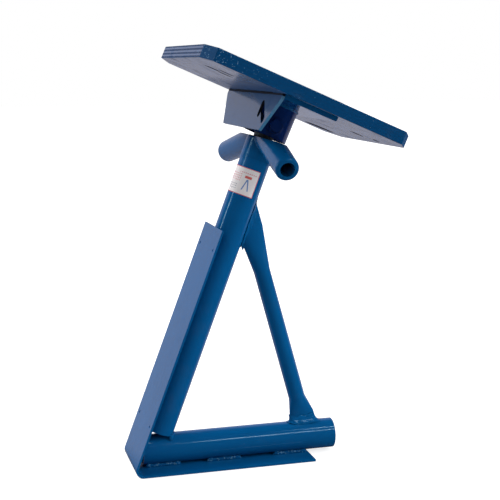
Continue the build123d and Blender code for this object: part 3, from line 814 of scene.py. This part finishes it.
class STAND_OT_brace_welds(bpy.types.Operator):
    """Beads round both flattened ends of the brace"""

    bl_idname = "stand.brace_welds"
    bl_label = "Brace Welds"

    def execute(self, context):
        sizes = context.scene.stand_sizes
        radius = sizes.tube_od / 2
        lean = sizes.brace_lean
        up = UP * cos(lean) - ALONG_FOOT * sin(lean)
        right = ALONG_FOOT * cos(lean) + UP * sin(lean)
        foot = BEND + ALONG_FOOT * sizes.brace_foot
        turn = np.linspace(0, 2 * pi, 240, endpoint=False)[:, None]
        half_wide, half_thick = sizes.flat_width / 2, sizes.flat_thick / 2
        # the flattened brace's outline, an ellipse a cos t, b sin t, and the way straight out of it
        outline = right * half_wide * np.cos(turn) + ACROSS * half_thick * np.sin(turn)
        outward = right * np.cos(turn) / half_wide + ACROSS * np.sin(turn) / half_thick
        outward /= np.linalg.norm(outward, axis=1, keepdims=True)
        sunk, proud = 0.6 * MM, 0.8 * MM
        climb, spread = 3.0 * sizes.weld, 1.8 * sizes.weld
        beads = []
        for spot, axis, sign in (
            (UP * (sizes.strip_thick + radius), ALONG_FOOT, 1),
            (POST_FOOT, POST_UP, -1),
        ):
            # where each line of the brace's skin, origin + u up, meets the tube's skin
            start = foot + outline - spot
            start = start - axis * (start @ axis)[:, None]
            travel = up - axis * (up @ axis)
            a, b, c = travel @ travel, start @ travel, (start**2).sum(1) - radius**2
            height = (-b + sign * np.sqrt(np.maximum(b**2 - a * c, 0))) / a
            meet = foot + outline + up * height[:, None]
            normal = (start + travel * height[:, None]) / radius
            flow = outward - normal * (outward * normal).sum(1, keepdims=True)
            flow /= np.linalg.norm(flow, axis=1, keepdims=True)
            root = meet - outward * sunk - normal * sunk
            toe_a = up * sign * climb + outward * proud
            toe_b = flow * spread + normal * proud
            run = distance_run(np.concatenate([meet, meet[:1]]))
            ripple = run[-1] / round(run[-1] / sizes.ripple)
            beads.append(bead(root, toe_a, toe_b, run[:-1], ripple, ends=False, hollow=True))
        add_piece(
            "brace_beads", beads, "welded_enamel", "stand", "blue_enamel", "brace_welds",
            wrap_rows=True,
        )
        return {"FINISHED"}


class STAND_OT_head_welds(bpy.types.Operator):
    """Ring, crevice and corner beads of the head"""

    bl_idname = "stand.head_welds"
    bl_label = "Head Welds"

    def execute(self, context):
        sizes = context.scene.stand_sizes
        radius = sizes.socket_od / 2
        plate = PAD_TOP - HEAD_UP * (sizes.pad_thick + sizes.plate_thick)
        leg = 0.5 * sizes.weld
        sunk = 0.5 * MM
        # the ring follows a circle round the socket, open where the chain plate stands
        turn = np.linspace(radians(-162), radians(162), 620)[:, None]
        rim = HEAD_RIGHT * np.cos(turn) + ACROSS * np.sin(turn)
        root = plate + rim * (radius - sunk) + HEAD_UP * sunk
        run = radius * (turn[:, 0] - turn[0, 0])
        beads = [bead(root, rim * leg, HEAD_UP * -leg, run, sizes.ripple)]
        skirt = PIVOT - HEAD_UP * sizes.socket_skirt - HEAD_RIGHT * radius
        climb = (plate - skirt) @ HEAD_UP - leg
        beads += stitch_pair(skirt, HEAD_UP, HEAD_RIGHT, radius, climb, sizes.ripple)
        low, high = across_span("top_plate")
        half = (high - low) / 2
        # at either side one bead, a third of the half width long, centred two thirds out
        for side in (-1, 1):
            corner = plate - HEAD_RIGHT * radius + ACROSS * (side * half * 2 / 3 - half / 6)
            start = corner - HEAD_RIGHT * sunk + HEAD_UP * sunk
            toe_a, toe_b = HEAD_RIGHT * sizes.weld, HEAD_UP * -sizes.weld
            beads.append(straight_bead(start, ACROSS, half / 3, toe_a, toe_b, sizes.ripple))
        add_piece("head_beads", beads, "welded_enamel", "head", "blue_enamel", "head_welds")
        return {"FINISHED"}


class STAND_OT_lift_screw(bpy.types.Operator):
    """Lifting screw with its trapezoid thread"""

    bl_idname = "stand.lift_screw"
    bl_label = "Lifting Screw"

    def execute(self, context):
        sizes = context.scene.stand_sizes
        outer, cope_radius = sizes.screw_od / 2, sizes.sleeve_od / 2
        steepness, plain_turns, rows_per_turn = 3.2, 3.2, 10
        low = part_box("lift_screw")[0][2]
        bottom = (low - POST_FOOT[2]) / POST_COS + outer * POST_SIN / POST_COS
        top = (PIVOT - POST_FOOT) @ POST_UP
        rows = int((top - bottom) / sizes.thread_pitch * rows_per_turn)
        turn = np.linspace(0, 2 * pi, 64, endpoint=False)[None]
        share = np.linspace(0, 1, rows)[:, None]
        # the top is coped to the cross sleeve that lies along the pivot
        aside = np.minimum(np.abs(outer * np.cos(turn)), cope_radius)
        cope = top - np.sqrt(cope_radius**2 - aside**2)
        height = bottom + (cope - bottom) * share
        # a right-hand trapezoid: a triangle wave of height/pitch less the turn, cut off flat
        phase = height / sizes.thread_pitch - turn / (2 * pi)
        wave = np.abs(2 * (phase - np.floor(phase)) - 1)
        form = np.clip((wave - 0.5) * steepness + 0.5, 0, 1)
        # the thread fades out some turns below the cope, and the lower end has a chamfer
        threaded = np.clip((top - height) / sizes.thread_pitch - plain_turns, 0, 1)
        chamfer = np.clip((height - bottom) / sizes.thread_depth, 0, 1)
        radius = outer - sizes.thread_depth * (1 - form) * threaded
        radius = np.minimum(radius, outer - sizes.thread_depth * (1 - chamfer))
        # both ends are closed by a row that shrinks to the axis
        radius = np.concatenate([radius[:1] * 0.0, radius, radius[-1:] * 0.0])
        height = np.concatenate([height[:1], height, np.full_like(height[-1:], height[-1].max())])
        spin = np.broadcast_to(turn, radius.shape)
        points = np.stack([radius * np.cos(spin), radius * np.sin(spin), height], 2)
        points = local(POST_FOOT, POST_AXES, points)
        add_piece("threaded_screw", points, "turned_steel", "screw", "oiled_steel", "lift_screw")
        return {"FINISHED"}


class STAND_OT_plywood_pad(bpy.types.Operator):
    """Plywood pad with sawn corners, eased edges and plies that stand proud or back"""

    bl_idname = "stand.plywood_pad"
    bl_label = "Plywood Pad"

    def execute(self, context):
        sizes = context.scene.stand_sizes
        low, high = across_span("plywood_pad")
        half = (high - low) / 2
        cut_x, cut_y = sizes.pad_cut_along, sizes.pad_cut_across
        short_x, short_y = sizes.pad_short_along, sizes.pad_short_across
        corners = np.array([
            (half, half - cut_y), (half - cut_x, half), (cut_x - half, half), (-half, half - cut_y),
            (-half, short_y - half), (short_x - half, -half), (half - cut_x, -half), (half, cut_y - half),
        ])
        # each side from its first corner to the next, with close steps beside the corners
        share = np.concatenate([[0.0, 0.004, 0.012], np.linspace(0.03, 0.97, 60), [0.988, 0.996]])
        ahead = np.roll(corners, -1, axis=0)
        outline = corners[:, None] + (ahead - corners)[:, None] * share[None, :, None]
        outline = outline.reshape(-1, 2)
        # ease the corners: pull each point towards its neighbours
        for _ in range(3):
            outline = (np.roll(outline, 1, 0) + 2 * outline + np.roll(outline, -1, 0)) / 4
        ply, ease, groove_depth, rings = sizes.pad_thick / sizes.plies, 1.05 * MM, 0.05 * MM, 26
        rows_per_ply = 10
        # the edge's profile: a quarter circle at both faces, and every second ply set back
        rise = np.linspace(0, sizes.pad_thick, sizes.plies * rows_per_ply + 1)
        layer = np.floor(np.clip(rise / ply, 0, sizes.plies - 1e-6))
        within = rise / ply - layer
        groove = groove_depth * (layer % 2) * np.clip(np.minimum(within, 1 - within) * 8, 0, 1)
        edge = np.minimum(rise, sizes.pad_thick - rise)
        inset = groove + ease - np.sqrt(np.maximum(ease**2 - np.maximum(ease - edge, 0) ** 2, 0))
        # both faces are rings of the outline that shrink to the middle
        face = np.linspace(half, ease, rings)
        inset = np.concatenate([face, inset, face[::-1]])
        rise = np.concatenate([np.zeros(rings), rise, np.full(rings, sizes.pad_thick)])
        scale = 1 - inset[:, None, None] / half
        heights = np.broadcast_to(rise[:, None, None], (len(rise), len(outline), 1))
        points = np.concatenate([outline[None] * scale, heights], 2)
        points = local(PAD_TOP - HEAD_UP * sizes.pad_thick, HEAD_AXES, points)
        add_piece("pad", points, "plywood_enamel", "head", "blue_plywood", "plywood_pad")
        return {"FINISHED"}


def hexagon(width, thick, hole, crown):
    """A bolt head or nut: six flats, r = (width / 2) / cos((t mod 60 degrees) - 30 degrees),
    under a chamfer cone."""
    t = np.linspace(0, 2 * pi, 96, endpoint=False)[None]
    flat = width / 2 / np.cos((t % (pi / 3)) - pi / 6)
    cone = width / 2 * 1.02
    free = np.inf
    heights = np.array([0.0, 0.0, crown, thick - crown, thick - crown * 0.4, thick, thick])[:, None]
    limit = np.array([hole, cone * 0.98, free, free, cone * 1.06, cone * 0.96, hole])[:, None]
    radius = np.minimum(flat, limit)
    return np.stack([radius * np.cos(t), radius * np.sin(t), heights + 0 * t], 2)


class STAND_OT_pivot_bolt(bpy.types.Operator):
    """Pivot bolt with its nut and washers"""

    bl_idname = "stand.pivot_bolt"
    bl_label = "Pivot Bolt"

    def execute(self, context):
        sizes = context.scene.stand_sizes
        bolt_low, bolt_high = across_span("pivot_bolt")
        nut_low, nut_high = across_span("pivot_nut")
        washer_low, washer_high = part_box("pivot_washers")
        seat = washer_low[1]

        def lay(points, start, direction):
            axes = (HEAD_RIGHT, HEAD_UP * -direction, ACROSS * direction)
            return local(PIVOT + ACROSS * start, axes, points)

        def settled(name, grids, node, closed=True):
            # the fasteners take the socket's darker enamel: painted shade under the pad
            add_piece(
                name, grids, "shaded_socket_enamel", "head", "blue_enamel", node,
                smooth=False, closed=closed,
            )

        r = sizes.bolt_od / 2
        length, point, bevel = bolt_high - seat, 1.6 * MM, 1.2 * MM
        head = lay(hexagon(sizes.bolt_hex, seat - bolt_low, 0.0, bevel), seat, -1)
        shank = np.array([(0, 0), (r, 0), (r, length - point), (r - bevel, length), (0, length)])
        settled("hex_bolt", [head, lay(turned(shank, 48), seat, 1)], "pivot_bolt")
        nut = lay(hexagon(sizes.bolt_hex, nut_high - nut_low, r, 1.0 * MM), nut_low, 1)
        settled("hex_nut", nut, "pivot_nut", closed=False)
        outer = (washer_high[2] - washer_low[2]) / 2
        thick = -sizes.socket_od / 2 - seat
        ease = 0.5 * MM
        ring = np.array([
            (r, 0), (outer - ease, 0), (outer, ease), (outer, thick - ease),
            (outer - ease, thick), (r, thick), (r, 0),
        ])
        rings = [lay(turned(ring, 64), start, 1) for start in (seat, sizes.socket_od / 2)]
        settled("plain_washers", rings, "pivot_washers")
        return {"FINISHED"}


class STAND_OT_post_label(bpy.types.Operator):
    """Plain printed label round the top of the post"""

    bl_idname = "stand.post_label"
    bl_label = "Post Label"

    def execute(self, context):
        sizes = context.scene.stand_sizes
        radius = sizes.tube_od / 2
        across, up = np.meshgrid(np.linspace(0, 1, 90), np.linspace(0, 1, 40))
        turn = sizes.label_edge - (1 - across) * sizes.label_width / radius
        height = (NUT_SEAT - POST_FOOT) @ POST_UP - sizes.label_low + up * sizes.label_height
        # the paper lifts a little in waves along its upper and lower edges
        raised, curl = 0.05 * MM, 0.25 * MM
        wave = np.clip(np.abs(2 * up - 1) * 12 - 11, 0, 1) * (0.5 + 0.5 * np.sin(across * 9))
        r = radius + raised + curl * wave
        # a sheet round the post's axis: r sin t, -r cos t, height
        points = np.stack([r * np.sin(turn), -r * np.cos(turn), height], 2)
        points = local(POST_FOOT, POST_AXES, points)
        piece = add_piece(
            "post_label", points, "post_label_paper", "stand", "blue_enamel",
            wrap_columns=False, closed=False,
        )
        layer = piece.data.uv_layers.new(name="print")
        index = np.zeros(len(piece.data.loops), int)
        piece.data.loops.foreach_get("vertex_index", index)
        place = np.stack([across.ravel() * sizes.label_width, up.ravel() * sizes.label_height], 1) / MM
        layer.data.foreach_set("uv", place[index].ravel())
        paper = piece.modifiers.new("paper", "SOLIDIFY")
        paper.thickness = 0.1 * MM
        paper.offset = 1.0
        return {"FINISHED"}


class STAND_OT_stage(bpy.types.Operator):
    """Floor, lamps, room light and camera"""

    bl_idname = "stand.stage"
    bl_label = "Stage"

    def execute(self, context):
        scene = context.scene
        stage = scene.stand_stage
        self.floor(stage)
        self.lamps(scene, stage)
        self.room(scene, stage)
        self.camera(scene, stage)
        scene.view_settings.view_transform = "Standard"
        return {"FINISHED"}

    def floor(self, stage):
        """A pale plane just under the foot: white to the camera apart from the stand's shadow,
        and to the gloss about as bright as the room is there."""
        half = stage.floor_size / 2
        x, y = np.meshgrid(np.linspace(-half, half, 3), np.linspace(-half, half, 3))
        points = np.stack([x, y, np.full_like(x, -0.2 * MM)], 2)
        tree, shader = new_material("pale_floor")
        feed((0.50, 0.50, 0.50), shader.inputs["Base Color"])
        feed(0.9, shader.inputs["Roughness"])
        feed(0.0, shader.inputs["Specular IOR Level"])
        path = add_node(tree, "LightPath").outputs
        place = coordinate(tree, "Object")
        white = Field(path["Is Camera Ray"]) * remap(vector_math("LENGTH", place), 0.45, 1.4, 0.74, 1.1)
        white = output(tree, "Emission", (1, 1, 1), white)
        seen = output(tree, "AddShader", Field(shader.outputs[0]), white)
        depth = along(place, BACKWARDS)
        mirrored = remap(depth, -0.05, 0.22, stage.mirrored_ahead, stage.mirrored_floor)
        mirrored = output(tree, "Emission", stage.mirrored_tint, mirrored)
        chosen = output(tree, "MixShader", Field(path["Is Glossy Ray"]), seen, mirrored)
        feed(chosen, tree.nodes["Material Output"].inputs["Surface"])
        surface("studio_floor", points, "pale_floor", wrap_columns=False, closed=False)

    def lamps(self, scene, stage):
        """Rectangular lamps: place, aim, width, height and power. Only the narrow ones are
        mirrored, two level ones for the base tube and an upright one for the post."""
        soft = ((0.05, 0, 0.34), 1.2, 1.2)
        streak = stage.streak_power
        for name, place, aim, wide, high, power, mirrored in (
            ("right_lamp", (2.0, -0.9, 1.0), *soft, stage.right_power, False),
            ("left_lamp", (-1.65, -0.5, 1.8), *soft, stage.left_power, False),
            ("rim_lamp", (-1.2, 1.5, 1.4), *soft, stage.rim_power, False),
            ("top_lamp", (0.1, 1.1, 2.3), *soft, stage.top_power, False),
            ("level_streak", (0.89, -1.67, 1.40), (0.89, 0, 0.03), 0.92, 0.10, streak * 0.26, True),
            ("short_streak", (1.10, -1.07, 1.90), (1.10, 0, 0.03), 0.56, 0.10, streak * 0.18, True),
            ("upright_streak", (-1.67, 0.10, 0.97), (0.0, 0, 0.42), 0.17, 0.50, streak * 0.12, True),
        ):
            data = bpy.data.lights.new(name, "AREA")
            data.shape = "RECTANGLE"
            data.size, data.size_y, data.energy = wide, high, power
            if mirrored:
                data.color = (0.60, 0.92, 1.0)
            lamp = bpy.data.objects.new(name, data)
            lamp.visible_glossy, lamp.visible_diffuse = mirrored, not mirrored
            turn = (Vector(aim) - Vector(place)).to_track_quat("-Z", "Y").to_matrix().to_4x4()
            lamp.matrix_world = Matrix.Translation(place) @ turn
            scene.collection.objects.link(lamp)

    def room(self, scene, stage):
        """White to the camera, and in the gloss pale behind the stand and dark ahead. To the
        rest it is an even grey light."""
        world = bpy.data.worlds.new("studio_room")
        world.use_nodes = True
        scene.world = world
        tree = world.node_tree
        path = add_node(tree, "LightPath").outputs
        direction = coordinate(tree, "Generated")
        wall = remap(along(direction, UP), 0.05, 0.16, stage.mirrored_level, stage.mirrored_behind)
        mirrored = remap(along(direction, BACKWARDS), 0.45, 0.85) * wall | stage.mirrored_ahead
        tinted = add_node(tree, "VectorMath", stage.mirrored_tint)
        tinted.operation = "SCALE"
        feed(mirrored, tinted.inputs["Scale"])
        shine = Field(path["Is Glossy Ray"]) | Field(path["Is Transmission Ray"])
        lit = blend(shine, stage.room_tint, Field(tinted.outputs[0]))
        seen = blend(Field(path["Is Camera Ray"]), lit, (1.0, 1.0, 1.0))
        feed(seen, tree.nodes["Background"].inputs["Color"])
        feed(1.0, tree.nodes["Background"].inputs["Strength"])

    def camera(self, scene, stage):
        """Looks along +Y turned right by camera_turn and down by camera_dip, and is then rolled."""
        turn, dip, roll = stage.camera_turn, stage.camera_dip, stage.camera_roll
        ahead = Vector((sin(turn) * cos(dip), cos(turn) * cos(dip), -sin(dip)))
        side = Vector((cos(turn), -sin(turn), 0))
        right = side * cos(roll) + side.cross(ahead) * sin(roll)
        data = bpy.data.cameras.new("stand_camera")
        data.lens = stage.lens
        data.sensor_width = 36.0
        camera = bpy.data.objects.new("stand_camera", data)
        axes = Matrix((right, right.cross(ahead), -ahead)).transposed()
        camera.matrix_world = Matrix.Translation(stage.camera_place) @ axes.to_4x4()
        scene.collection.objects.link(camera)
        scene.camera = camera


# ---------------- panel and registration
OPERATORS = (
    STAND_OT_paint,
    STAND_OT_strip_welds,
    STAND_OT_post_foot_weld,
    STAND_OT_brace_welds,
    STAND_OT_head_welds,
    STAND_OT_lift_screw,
    STAND_OT_plywood_pad,
    STAND_OT_pivot_bolt,
    STAND_OT_post_label,
    STAND_OT_stage,
)


class STAND_PT_panel(bpy.types.Panel):
    """Lists the stand's operators"""

    bl_label = "Support Stand"
    bl_idname = "STAND_PT_panel"
    bl_space_type = "VIEW_3D"
    bl_region_type = "UI"
    bl_category = "Stand"

    def draw(self, context):
        for operator in OPERATORS:
            self.layout.operator(operator.bl_idname)


GROUPS = {"stand_sizes": StandSizes, "stand_colours": StandColours, "stand_stage": StandStage}
CLASSES = (*GROUPS.values(), *OPERATORS, STAND_PT_panel)


def register():
    for item in CLASSES:
        bpy.utils.register_class(item)
    for name, group in GROUPS.items():
        setattr(bpy.types.Scene, name, bpy.props.PointerProperty(type=group))


def unregister():
    for name in GROUPS:
        delattr(bpy.types.Scene, name)
    for item in reversed(CLASSES):
        bpy.utils.unregister_class(item)


def main():
    """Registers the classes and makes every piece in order."""
    register()
    for operator in OPERATORS:
        family, name = operator.bl_idname.split(".")
        getattr(getattr(bpy.ops, family), name)()


if __name__ == "__main__":
    main()
